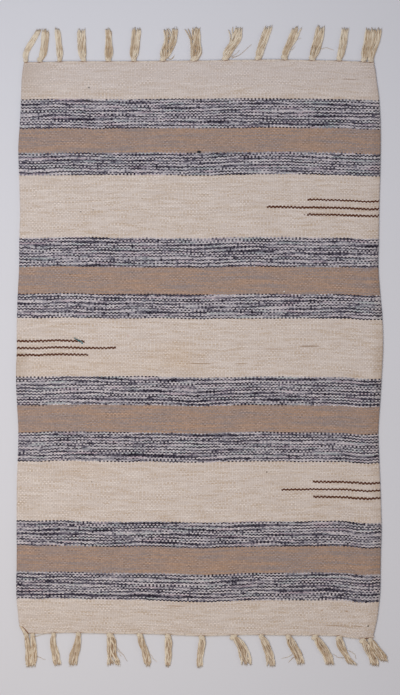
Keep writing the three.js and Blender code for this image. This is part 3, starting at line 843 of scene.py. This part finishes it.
undyed = add(tree, "Mix RGBA", [is_weft, undyed, linear("#e2d3c5")])
# Red-brown where the shade value is high: a real tinge near the knots, and painted shade on the inner
# yarns, the low knot loops and two dark yarns
stain_and_shade = add(tree, "Mix RGBA", [shade, undyed, linear("#80502f")])
# Painted shade: the creases between the plies are drawn a little darker
ply_crease_shade = add(tree, "MapRange", [ply_crown, 0.0, 0.5, 0.93, 1.0])
speckle = add(tree, "MapRange", [strand_noise, 0.3, 0.7, 0.95, 1.05])
cord_light = add(tree, "Math MULTIPLY", [ply_crease_shade, speckle])
cord_colour = add(tree, "VectorMath SCALE", {"Vector": stain_and_shade, "Scale": cord_light})
cord_rough = add(tree, "MapRange", [strand_noise, 0.2, 0.8, 0.8, 0.95])
ply_bump = add(tree, "Bump", {"Strength": 1.0, "Distance": PLY_RELIEF, "Height": ply_crown})
strand_settings = {"Strength": 0.7, "Distance": FIBRE_RELIEF, "Height": strand_noise, "Normal": ply_bump}
cord_bump = add(tree, "Bump", strand_settings)
cord_shader = add(tree, "BsdfPrincipled", {
    "Base Color": cord_colour, "Roughness": cord_rough, "IOR": 1.53, "Specular IOR Level": 0.3,
    "Sheen Weight": 0.15, "Sheen Roughness": 0.5, "Normal": cord_bump,
})
add(tree, "OutputMaterial", [cord_shader])
print("nodes in the cord:", len(tree.nodes))

# %% [markdown]
# ## Where the tassels are
#
# Each tassel has its own lean and width, so they stand in a table, in mm. reach is how far it lies
# out from the cloth's end, x and w are its middle and width at the end, 15 mm out, 33 mm out and
# at the tip. In a few, split opens the tip in two, or stray swings two outer yarns aside.

# %% Tassel tables
TASSEL_BENDS = (15, 33)
TOP_TASSELS = (
    {"reach": 55, "x": (-286, -286, -277, -264), "w": (8, 9, 10, 8)},
    {"reach": 55, "x": (-263, -257.5, -255, -253.5), "w": (9, 11.5, 11.5, 10.5)},
    {"reach": 56, "x": (-230, -230, -232, -234), "w": (8, 10, 9, 9)},
    {"reach": 54, "x": (-191, -193, -194, -194), "w": (9, 12.5, 12.5, 11.5), "split": 1},
    {"reach": 55, "x": (-150, -149, -149, -150), "w": (10, 13, 10, 9)},
    {"reach": 56, "x": (-108, -107, -105, -102.5), "w": (9, 13.5, 13.5, 13.5)},
    {"reach": 55, "x": (-59, -54.5, -47.5, -47), "w": (11.5, 17, 17, 17), "split": 5.5},
    {"reach": 56, "x": (-7, -5, -5, -5), "w": (15, 17, 14.5, 13), "stray": -12},
    {"reach": 55, "x": (44, 48.5, 60.5, 65.5), "w": (12.5, 15, 15, 12.5), "stray": -9},
    {"reach": 56, "x": (98, 101, 107, 115), "w": (12, 12, 12.5, 12.5)},
    {"reach": 55, "x": (141, 144, 153, 160.5), "w": (11, 11, 13, 10), "stray": 5},
    {"reach": 57, "x": (187, 191.5, 196.5, 201.5), "w": (11, 14, 15, 12.5)},
    {"reach": 55, "x": (231.5, 235, 238.5, 242), "w": (9, 11.5, 11.5, 11)},
    {"reach": 56, "x": (272.5, 274.5, 279, 282.5), "w": (10, 11.5, 13, 13.5)},
    {"reach": 56, "x": (283.5, 285, 291, 295.5), "w": (10, 11.5, 13, 12.5)},
)
BOTTOM_TASSELS = (
    {"reach": 56, "x": (-285, -283.5, -282, -282), "w": (8, 8, 8.5, 7.5)},
    {"reach": 55, "x": (-275, -274, -272.5, -273.5), "w": (8, 8.5, 9, 8)},
    {"reach": 55, "x": (-240, -241, -237.5, -233.5), "w": (8, 9, 11, 11)},
    {"reach": 55, "x": (-199, -200, -205, -211), "w": (9, 10, 13, 11), "stray": 3},
    {"reach": 54, "x": (-146.5, -144.5, -144, -140), "w": (13, 14.5, 12.5, 17), "split": 4},
    {"reach": 54, "x": (-97.5, -94.5, -88, -84), "w": (11, 10.5, 11, 10)},
    {"reach": 54, "x": (-51, -50.5, -50.5, -52), "w": (11, 11.5, 10, 8)},
    {"reach": 53, "x": (5, 5, 2, 1), "w": (11.5, 11, 9.5, 8.5)},
    {"reach": 50, "x": (57, 68, 75, 79), "w": (13, 15, 17, 16.5)},
    {"reach": 53, "x": (103.5, 109.5, 116, 120), "w": (9.5, 12.5, 12.5, 14.5)},
    {"reach": 50, "x": (148, 153.5, 163, 169), "w": (10, 14, 13.5, 10.5)},
    {"reach": 50, "x": (191.5, 200, 211, 217), "w": (12, 14.5, 15, 13)},
    {"reach": 48, "x": (231.5, 234.5, 243, 254.5), "w": (11.5, 13, 9.5, 13)},
    {"reach": 46, "x": (270.5, 277, 287.5, 291), "w": (12, 12, 13.5, 13)},
    {"reach": 40, "x": (283, 290.5, 303.5, 306.5), "w": (9, 13, 13, 11)},
)
print("tassels:", len(TOP_TASSELS), "and", len(BOTTOM_TASSELS))

# %% [markdown]
# ## One tassel: a hank of yarns
#
# Thirteen warps make a tassel, and the last wefts are tied in with them. They leave the knot as a
# round bundle and settle into a flatter one towards the tip. So the yarns stand in two rings,
# thirteen outside and seven inside, and both rings are ovals that get wider and lower. A slow turn
# of the whole bundle lets the yarns cross each other, and a slight wave in each opens the dark
# creases between them. The bottom tassels are looser than the top ones (LOOSENESS), and little
# light reaches the inner yarns, so those are made darker (INNER_SHADE), more so where it is loose.

# %% Hanks
YARNS_OUTSIDE, YARNS_INSIDE, INNER_RING = 13, 7, 0.5
YARN_RADIUS, RADIUS_SHARES = 1.05, (0.86, 1.08)
HANK_SPREAD, HANK_STEPS = 1.12, 26
HANK_HEIGHTS = (5.2, 4.6, 3.6, 3.0)
KNOT_LENGTH, KNOT_HEIGHT, PIECE_GAP = 8, 6, 0.3
KNOT_MIDDLE = KNOT_LENGTH / 2 + PIECE_GAP
ACROSS_KNOT = np.linspace(-0.4, 0.4, 5)
KNOT_PINCH, PINCH_POWER = 0.6, 0.7
CUT_SHARES = (0.9, 1.0)
BUNDLE_TURN = (0.5, 1.3)
YARN_DRIFT, DRIFT_TURNS = 0.25, (0.8, 1.6)
WAVE_LENGTHS, WAVE_ASIDE, WAVE_UP, UP_RATE = (20, 34), 0.4, 0.2, 1.7
STRAY_SHARES = (1.0, 0.55)
TIP_START, TIP_TAPER = 0.93, 0.25
THROAT_SHADE, THROAT_FADE = 0.2, 2.5
LOOSENESS = {1: 1.0, -1: 2.2}
INNER_SHADE = {1: 0.1, -1: 0.4}


def end_line(x, side):
    """Where the cloth's top end (side 1) or bottom end (side -1) lies."""
    return smooth_between(*(TOP if side > 0 else BOTTOM), x)


def end_at_knot(row, side):
    """How far out the cloth's end reaches across a tassel's knot."""
    near = row["x"][0] + ACROSS_KNOT * row["w"][0]
    return side * np.max(side * end_line(near, side))


def lay_hank(heap, row, side):
    """The yarns of one tassel, from its knot to their cut ends."""
    count = YARNS_OUTSIDE + YARNS_INSIDE
    reach = row["reach"] * chance.uniform(*CUT_SHARES, (count, 1))
    share = np.linspace(0, 1, HANK_STEPS)[None]
    distance = KNOT_MIDDLE + share * (reach - KNOT_MIDDLE)
    places = (0, *TASSEL_BENDS, row["reach"])
    middle = smooth_between(places, row["x"], distance)
    freed = np.clip((distance - KNOT_MIDDLE) / KNOT_LENGTH, 0, 1) ** PINCH_POWER
    pinch = KNOT_PINCH + (1 - KNOT_PINCH) * freed
    half = HANK_SPREAD * smooth_between(places, row["w"], distance) / 2 * pinch - YARN_RADIUS
    height = smooth_between(places, HANK_HEIGHTS, distance) / 2
    ring = np.array([1.0] * YARNS_OUTSIDE + [INNER_RING] * YARNS_INSIDE)[:, None]
    outside = np.arange(YARNS_OUTSIDE) / YARNS_OUTSIDE
    inside = (np.arange(YARNS_INSIDE) + 0.5) / YARNS_INSIDE
    start = np.concatenate([outside, inside])[:, None] + chance.uniform(0, 1)
    bundle_turn = chance.choice((-1, 1)) * chance.uniform(*BUNDLE_TURN)
    turn = 2 * np.pi * start + bundle_turn * share
    drift = chance.uniform(*DRIFT_TURNS, (count, 1)) * share + chance.uniform(0, 1, (count, 1))
    turn = turn + YARN_DRIFT * np.sin(2 * np.pi * drift)
    place = ring * np.cos(turn)
    wave = distance / chance.uniform(*WAVE_LENGTHS, (count, 1)) + chance.uniform(0, 1, (count, 1))
    wave = 2 * np.pi * wave
    swing = WAVE_ASIDE * LOOSENESS[side] * np.sin(wave)
    split = np.sign(place[:, -1:]) * row.get("split", 0) / 2
    x = middle + place * half + split * share ** 2 + share * swing
    stray = row.get("stray", 0)
    if stray:
        outermost = np.argsort(-place[:, -1] * np.sign(stray))[:2]
        x[outermost] += stray * np.array(STRAY_SHARES)[:, None] * share ** 3
    rise = WAVE_UP * LOOSENESS[side] * np.sin(UP_RATE * wave)
    z = height + ring * (height - YARN_RADIUS) * np.sin(turn) + rise
    z = np.maximum(z, YARN_RADIUS)
    y = end_at_knot(row, side) + side * distance
    taper = 1 - TIP_TAPER * np.clip((share - TIP_START) / (1 - TIP_START), 0, 1)
    thick = YARN_RADIUS * chance.uniform(*RADIUS_SHARES, (count, 1)) * taper
    throat = THROAT_SHADE * np.exp(-(distance - KNOT_MIDDLE) / THROAT_FADE)
    yarns = np.stack([x, y, z], -1)
    lay_yarns(heap, yarns, thick, throat + INNER_SHADE[side] * (ring < 1))
    return yarns


# %% [markdown]
# ## The knot
#
# The weaver ties each hank close against the cloth. From above such an overhand knot is a short
# bulge of yarns that cross the hank at a slant. It is laid as oval loops round the hank, largest
# in the middle, all tilted the same way, and sunk a little so that they are pressed flat on the
# floor. The loops stand highest, where most light falls, so their tones make them the palest
# yarns: a painted highlight. Their low sides, near the floor, are drawn darker and red-brown:
# painted shade.

# %% Knots
KNOT_LOOPS, LOOP_STEPS, LOOP_RADIUS = 4, 20, YARN_RADIUS * 0.9
KNOT_SLANT, KNOT_LEAN, KNOT_ROLL = 0.28, 0.8, 0.5
KNOT_SUNK, KNOT_ROUNDING, WIDTH_SPARED = 0.8, 0.7, 0.6
KNOT_SHADE, SHADE_HEIGHT = 0.35, 3.5
KNOT_HIGHLIGHT_TONES = (0.75, 1.0)


def lay_knot(heap, row, side):
    """The slanted loops of one knot."""
    slant = KNOT_SLANT * chance.choice((-1, 1))
    turn = 2 * np.pi * np.arange(LOOP_STEPS) / LOOP_STEPS
    spread = np.linspace(-1, 1, KNOT_LOOPS)[:, None]
    bulge = np.sqrt(1 - (KNOT_ROUNDING * spread) ** 2)
    half = (row["w"][0] / 2 - YARN_RADIUS * WIDTH_SPARED) * bulge
    x = row["x"][0] + half * np.cos(turn)
    z = KNOT_HEIGHT / 2 - KNOT_SUNK + (KNOT_HEIGHT / 2 - YARN_RADIUS) * bulge * np.sin(turn)
    z = np.maximum(z, YARN_RADIUS)
    lean = slant * half * np.cos(turn) + KNOT_ROLL * np.sin(turn)
    middle = end_at_knot(row, side) + side * KNOT_MIDDLE
    y = middle + spread * (KNOT_LENGTH / 2 - YARN_RADIUS) + lean * KNOT_LEAN
    # Painted shade: the loops are drawn darker and red-brown towards the floor
    shade = KNOT_SHADE * np.clip(1 - z / SHADE_HEIGHT, 0, 1)
    loops = np.stack([x, y, z], -1)
    # The pale tones are a painted highlight on the knot
    lay_yarns(heap, loops, LOOP_RADIUS, shade, closed=True, tones=KNOT_HIGHLIGHT_TONES)


# %% [markdown]
# ## The warps along the cloth's end
#
# Between two knots the warps come out of the cloth one by one, and each is pulled straight to its
# knot. They lie on and beside each other against the last pick. Two cream weft yarns run along on
# top of them, on the shoulder of the cloth: they are the pale line that edges both ends of the rug.
# At two corners the outermost warps show as well, where they are drawn in at a slant. Each row of
# their table has the tassel that they go to, the x and the y of three points, the height and the
# stain. In two rows the stain is 1, and there it is painted shade: a dark red-brown yarn along the
# inner side of the bottom left corner's warps, and one in the dark gap at the fourteenth bottom
# tassel's knot. The two cream yarns' rows (EDGE_YARNS) have how far out they lie, their height and
# stain.

# %% Gathered warps
GATHER_STEPS, GATHER_RADIUS = 7, 0.7
GATHER_LIFTS, GATHER_HEIGHTS = (0.2, 0.75, 0.5, 0.6), (2.3, 1.1, 1.8, 0.9)
GATHER_CROWDING, GATHER_RISE, GATHER_ARCH, START_INSIDE = 0.25, 0.7, 0.3, 1.2
GATHER_SHADE, GATHER_STAIN = 0.5, 6.0
EDGE_YARNS = ((-1.1, 3.5, 0.25), (0.4, 2.9, 1.0))
EDGE_YARN_RADIUS, EDGE_STEPS, EDGE_DIP, WEFT_TONES = 0.85, 16, 0.4, (1.1, 1.2)
CORNER_INSET = 11


def lay_gathered(heap, row, side, first, last):
    """The warps that come out between two places along the end, each pulled to the knot."""
    knot, width = row["x"][0], row["w"][0]
    from_warp, to_warp = ((x + CLOTH_WIDTH / 2) / RIB_PITCH - 0.5 for x in (first, last))
    starts = np.arange(math.ceil(from_warp), to_warp)
    x_start = (starts + 0.5)[:, None] * RIB_PITCH - CLOTH_WIDTH / 2
    x_knot = knot + GATHER_CROWDING * np.clip(x_start - knot, -width, width)
    share = np.linspace(0, 1, GATHER_STEPS)[None]
    x = x_start + (x_knot - x_start) * share
    far = np.abs(x_start - knot)
    layer = np.argsort(np.argsort(far.ravel()))[:, None] % len(GATHER_LIFTS)
    lift = np.array(GATHER_LIFTS)[layer] + GATHER_RISE * share ** 3
    y = end_line(x, side) + side * (lift - START_INSIDE * (share == 0))
    z = np.array(GATHER_HEIGHTS)[layer] + GATHER_ARCH * share * (1 - share)
    shade = GATHER_SHADE * np.exp(-np.abs(x - knot) / GATHER_STAIN)
    lay_yarns(heap, np.stack([x, y, z], -1), GATHER_RADIUS, shade, sides=6)
    x = np.linspace(first, last, EDGE_STEPS)
    near_knot = np.exp(-np.abs(x - knot) / GATHER_STAIN)
    for lift, height, stain in EDGE_YARNS:
        y = end_line(x, side) + side * lift
        path = np.stack([x, y, height - EDGE_DIP * near_knot], -1)
        lay_yarns(heap, path[None], EDGE_YARN_RADIUS, stain * near_knot, sides=6, tones=WEFT_TONES)


# %% Corner warps
CORNER_WARPS = (
    ("bottom_01", (-296.4, -291.6, -288), (-458, -467, -475), 2.6, 0.1),
    ("bottom_01", (-295, -290.2, -286), (-458.5, -466, -474.5), 3.7, 0.0),
    ("bottom_01", (-293.4, -288.4, -284), (-459, -465.2, -473.5), 4.2, 0.1),
    # painted shade: a dark yarn on the inner side of the corner's warps
    ("bottom_01", (-291.8, -286.6, -281.5), (-460, -465.5, -471.5), 4.1, 1.0),
    # painted shade: a dark yarn in the gap at this knot
    ("bottom_14", (264, 272, 280), (-477.8, -478.9, -479.4), 3.2, 1.0),
)
CORNER_RADIUS, CORNER_STEPS, CORNER_TONES = 0.85, 9, (0.4, 0.9)


def through_three(xs, ys, share):
    """x and y on a smooth curve through three points."""
    return (smooth_between((0, 0.5, 1), values, share) for values in (xs, ys))


def lay_corner(heap, xs, ys, height, shade):
    """One warp that is drawn in at a corner."""
    share = np.linspace(0, 1, CORNER_STEPS)
    x, y = through_three(xs, ys, share)
    path = np.stack([x, y, np.full(CORNER_STEPS, height)], -1)
    lay_yarns(heap, path[None], CORNER_RADIUS, shade, sides=6, tones=CORNER_TONES)


# %% [markdown]
# ## Frayed ends
#
# The cut ends of the yarns open into a few fine hairs. Each is a thin three-sided tube that bends
# away from its yarn.

# %% Frayed ends
HAIRS_PER_END, HAIR_STEPS, HAIR_RADIUS = 2, 5, 0.16
HAIR_LENGTHS, HAIR_START, HAIR_CURL = (1.5, 3.6), 0.25, 0.45
HAIR_ASIDE = (0.5, 0.5, 0.25)


def lay_hairs(heap, yarns):
    """Fine hairs at the cut ends of these yarns."""
    tips = np.repeat(yarns[:, -1], HAIRS_PER_END, 0)
    ahead = np.repeat(yarns[:, -1] - yarns[:, -3], HAIRS_PER_END, 0)
    ahead = ahead / np.linalg.norm(ahead, axis=-1, keepdims=True)
    aside = chance.normal(0, 1, ahead.shape) * HAIR_ASIDE
    share = np.linspace(0, 1, HAIR_STEPS)[None, :, None]
    length = chance.uniform(*HAIR_LENGTHS, (len(tips), 1, 1))
    straight = length * (share - HAIR_START) * ahead[:, None]
    paths = tips[:, None] + straight + length * HAIR_CURL * share ** 2 * aside[:, None]
    paths[..., 2] = np.maximum(paths[..., 2], HAIR_RADIUS)
    lay_yarns(heap, paths, HAIR_RADIUS, 0, sides=3)


# %% [markdown]
# ## Loose threads
#
# A few single threads have slipped out of their tassels and lie across the floor or the cloth.
# Each is a thin curve through three points, where it comes from, where it bends and where it ends.
# A row has the tassel, the three x and the three y.

# %% Loose threads
LOOSE_THREADS = (
    ("top_07", (-51, -46, -42), (478, 477, 482)),
    ("top_07", (-48, -43, -40), (477, 479, 485)),
    ("top_09", (54, 68, 86.5), (479, 485, 501.5)),
    ("top_09", (53, 60, 67), (481, 485, 492)),
    ("top_11", (154, 160, 168.5), (505, 509, 512)),
    ("top_11", (149, 155, 159), (491, 494, 499)),
    ("top_12", (198, 211, 222.5), (493, 496, 492)),
    ("bottom_02", (-271, -262, -253), (-477, -474.5, -472)),
    ("bottom_02", (-269, -262, -254), (-508, -512, -515)),
    ("bottom_04", (-201, -201, -205), (-495, -510, -522)),
    ("bottom_05", (-139, -128, -118), (-492, -504, -518)),
    ("bottom_05", (-138, -132, -129), (-495, -503, -510)),
    ("bottom_06", (-84, -78, -70), (-500, -510, -519)),
    ("bottom_11", (158, 148, 137), (-502, -510, -513)),
    ("bottom_11", (161, 153, 148), (-508, -514, -520)),
    ("bottom_13", (239, 230, 222), (-512, -511, -506)),
    ("bottom_13", (247, 256, 260), (-500, -505, -514)),
    ("bottom_15", (302, 308, 313), (-505, -508, -511)),
)
LOOSE_RADIUS, LOOSE_STEPS, LOOSE_SHADE = 0.5, 12, 0.1
LOOSE_WAVE, LOOSE_RISE, LOOSE_TAPER = 0.4, 0.8, 0.5


def lay_loose(heap, xs, ys):
    """One thin thread on the floor, which starts inside its tassel."""
    share = np.linspace(0, 1, LOOSE_STEPS)
    wave = LOOSE_WAVE * np.sin(2 * np.pi * (2 * share + chance.uniform()))
    x, y = through_three(xs, ys, share)
    z = np.full(LOOSE_STEPS, LOOSE_RADIUS) + LOOSE_RISE * (1 - share)
    path = np.stack([x + wave, y + wave / 2, z], -1)
    lay_yarns(heap, path[None], LOOSE_RADIUS * (1 - LOOSE_TAPER * share), LOOSE_SHADE, sides=5)


# %% [markdown]
# ## Build all tassels
#
# Each tassel is one object that takes the place of its plain solid. Its own OFBake map gives every
# yarn a strip of the bake's square, so that no two yarns share a pixel.

# %% Build all tassels
BAKE_MARGIN = 0.05


def new_heap():
    """An empty heap of yarns, for one tassel."""
    return {"points": [], "faces": [], "yarn": [], "tone": [], "strip": [], "strips": 0}


def build_tassel(name, row, side, first, last):
    """One tassel, with the loose threads and the corner warps that belong to it."""
    heap = new_heap()
    lay_gathered(heap, row, side, first, last)
    lay_knot(heap, row, side)
    yarns = lay_hank(heap, row, side)
    lay_hairs(heap, yarns)
    for lay, table in ((lay_corner, CORNER_WARPS), (lay_loose, LOOSE_THREADS)):
        for tassel, *rest in table:
            if name.endswith(tassel):
                lay(heap, *rest)
    yarn, strip = np.concatenate(heap["yarn"]), np.concatenate(heap["strip"])
    bake_x = (strip + BAKE_MARGIN + (1 - 2 * BAKE_MARGIN) * yarn[:, 0]) / heap["strips"]
    bake = np.stack([bake_x, yarn[:, 1] / yarn[:, 1].max()], -1)
    maps = {"yarn": yarn, "tone": np.concatenate(heap["tone"]), "OFBake": bake}
    return new_piece(name, np.concatenate(heap["points"]), heap["faces"], maps, cord)


tassels = []
for label, side, table in (("top", 1, TOP_TASSELS), ("bottom", -1, BOTTOM_TASSELS)):
    knots = [row["x"][0] for row in table]
    edges = [CORNER_INSET - CLOTH_WIDTH / 2] + [(a + b) / 2 for a, b in zip(knots, knots[1:])]
    edges.append(CLOTH_WIDTH / 2 - CORNER_INSET)
    for number, row in enumerate(table):
        node = f"tassel_{label}_{number + 1:02d}"
        piece = build_tassel("knotted_" + node, row, side, edges[number], edges[number + 1])
        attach(piece, "root")
        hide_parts(node)
        tassels.append(piece)
faces = sum(len(piece.data.polygons) for piece in tassels)
print("tassels:", len(tassels), "with triangles, about:", 2 * faces)

print("sheet:", CLOTH_WIDTH, "by", CLOTH_LENGTH, "mm")

# %% [markdown]
# ## Floor and light
#
# The photo was taken straight down in soft light. The rug is brightest left of its middle and
# darker towards its right side, a little cooler at the top, and the tassels have a narrow shadow on
# the side away from there: so a cool and a warm soft lamp hang over that side. On their left the
# tassels also have a wide, very faint shadow, from a weak light low on the right. A pale sky fills
# the rest. The lamps' places and sizes are in metres.

# %% Floor
floor_paint, tree = new_material("pale_matt_floor")
grain = add(tree, "TexNoise", {"Scale": 3.0, "Detail": 4.0})
floor_colour = add(tree, "Mix RGBA", [grain, linear("#dad8dc"), linear("#dddbdf")])
floor_finish = {"Base Color": floor_colour, "Roughness": 0.9, "Specular IOR Level": 0.1}
add(tree, "OutputMaterial", [add(tree, "BsdfPrincipled", floor_finish)])
FLOOR_HALF, FLOOR_HEIGHT = 40000, -0.05
FLOOR_CORNERS = ((-1, -1), (1, -1), (1, 1), (-1, 1))
floor_points = [(x * FLOOR_HALF, y * FLOOR_HALF, FLOOR_HEIGHT) for x, y in FLOOR_CORNERS]
floor = new_piece("floor", floor_points, [[0, 1, 2, 3]], {}, floor_paint)
print("floor:", FLOOR_HALF * 2 * MM, "m square")

# %% Light
LAMPS = (
    ("cool_lamp_above", (-0.42, 0.48, 1.4), 0.9, 8.8, "#e6f1ff"),
    ("warm_lamp_above", (-0.52, -0.42, 1.4), 0.9, 8.6, "#fff4e0"),
    ("low_lamp_right", (3.6, -0.6, 1.7), 1.0, 12, "#fff2e0"),
)
SKY_COLOUR, SKY_STRENGTH = "#f4f6ff", 0.33
for name, place, size, power, colour in LAMPS:
    lamp_data = bpy.data.lights.new(name, "AREA")
    lamp_data.shape = "SQUARE"
    lamp_data.size = size
    lamp_data.energy = power
    lamp_data.color = linear(colour)[:3]
    lamp = bpy.data.objects.new(name, lamp_data)
    lamp.location = place
    lamp.rotation_euler = lamp.location.to_track_quat("Z", "Y").to_euler()
    bpy.context.scene.collection.objects.link(lamp)
sky = bpy.data.worlds.new("pale_sky")
sky.use_nodes = True
sky_light = sky.node_tree.nodes["Background"].inputs
sky_light["Color"].default_value = linear(SKY_COLOUR)
sky_light["Strength"].default_value = SKY_STRENGTH
bpy.context.scene.world = sky
bpy.context.scene.view_settings.view_transform = "Standard"
print("lamps:", [name for name, *_ in LAMPS])

# %% [markdown]
# ## Camera
#
# One pixel of the photo is 1.653 mm of rug, and the picture is 400 by 695 pixels, with its middle
# near the middle of the cloth. The camera looks straight down from 3.2 m, and its lens is the one
# that fits 695 times 1.653 mm of rug into the long side of the picture.

# %% Camera
MM_PER_PIXEL, PICTURE_HEIGHT = 1.653, 695
PICTURE_MIDDLE = (1.7, 0.8)
CAMERA_HEIGHT = 3200
camera_data = bpy.data.cameras.new("camera")
camera_data.lens = camera_data.sensor_width * CAMERA_HEIGHT / (MM_PER_PIXEL * PICTURE_HEIGHT)
camera = bpy.data.objects.new("camera", camera_data)
camera.location = [v * MM for v in (*PICTURE_MIDDLE, CAMERA_HEIGHT)]
bpy.context.scene.collection.objects.link(camera)
bpy.context.scene.camera = camera
print("lens in mm:", round(camera_data.lens, 1))
